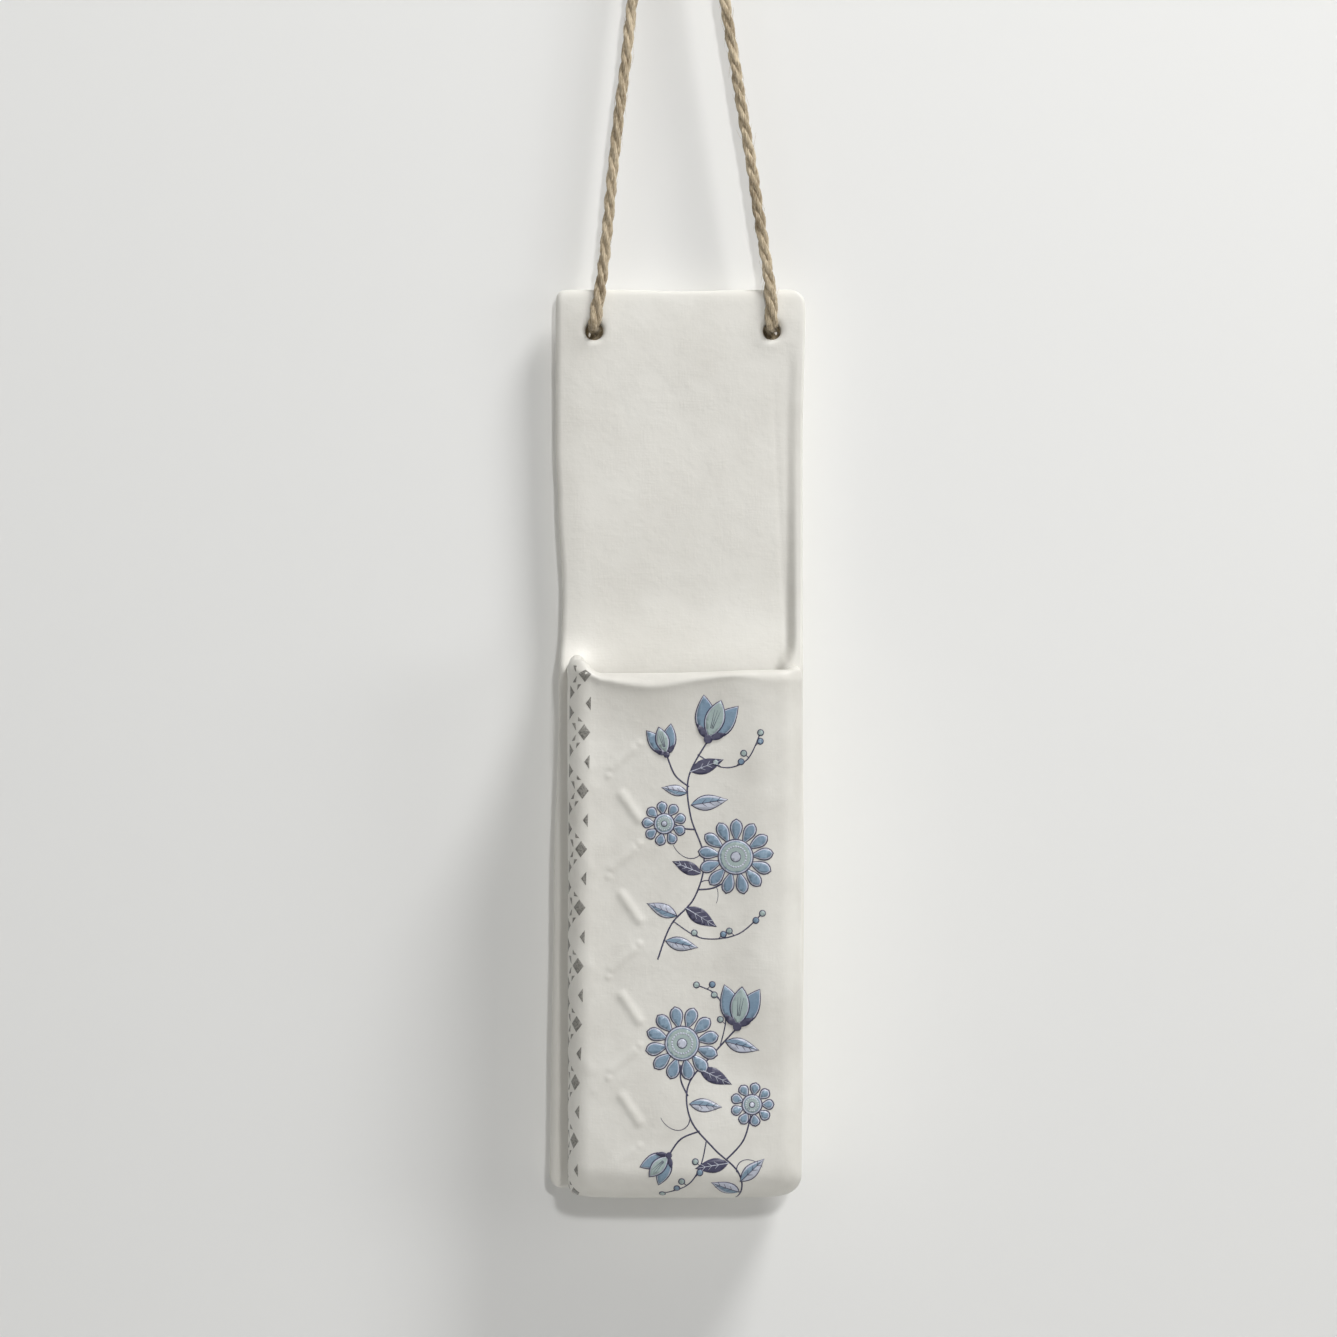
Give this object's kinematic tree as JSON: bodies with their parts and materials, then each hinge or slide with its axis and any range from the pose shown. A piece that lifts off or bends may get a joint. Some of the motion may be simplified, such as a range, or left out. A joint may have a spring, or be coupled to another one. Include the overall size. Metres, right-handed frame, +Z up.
{
  "type": "hanging wall vase",
  "caption": "Tall narrow slab-built ceramic wall vase with an open front pocket for flowers, hung by a loop of twine through its top corners from a small wall hook.",
  "frame": {"origin": "on the axis of the wall hook's shank, at the face of the wall", "axes": "+Z is up, +Y goes into the wall along the shank, -Y is towards the viewer, and +X is to the viewer's right"},
  "size_m": [0.068, 0.0583, 0.3754],
  "materials": {
    "hook_brass": "satin, lightly worn",
    "jute_twine": "rough twisted fibre",
    "white_glaze": "warm white satin glaze",
    "grey_print": "fired grey print under satin glaze",
    "blue_print": "fired blue print under satin glaze"
  },
  "bodies": {
    "hook": {"wall_hook": "hook_brass"},
    "twine": {"hanging_twine": "jute_twine"},
    "vase": {"back_slab": "white_glaze", "pocket_front": "white_glaze", "pocket_base": "white_glaze", "border_transfer": "grey_print", "upper_floral_transfer": "blue_print", "lower_floral_transfer": "blue_print", "left_knot": "jute_twine", "right_knot": "jute_twine"}
  },
  "joints": [
    {"name": "hook_swing", "type": "hinge", "parent": "hook", "child": "twine", "pos_m": [0, -0.0123, 0], "axis": [0, 1, 0], "range_deg": [-25, 25]},
    {"name": "vase_tilt", "type": "hinge", "parent": "twine", "child": "vase", "pos_m": [0, -0.0123, -0.136], "axis": [-1, 0, 0], "range_deg": [0, 60]}
  ]
}
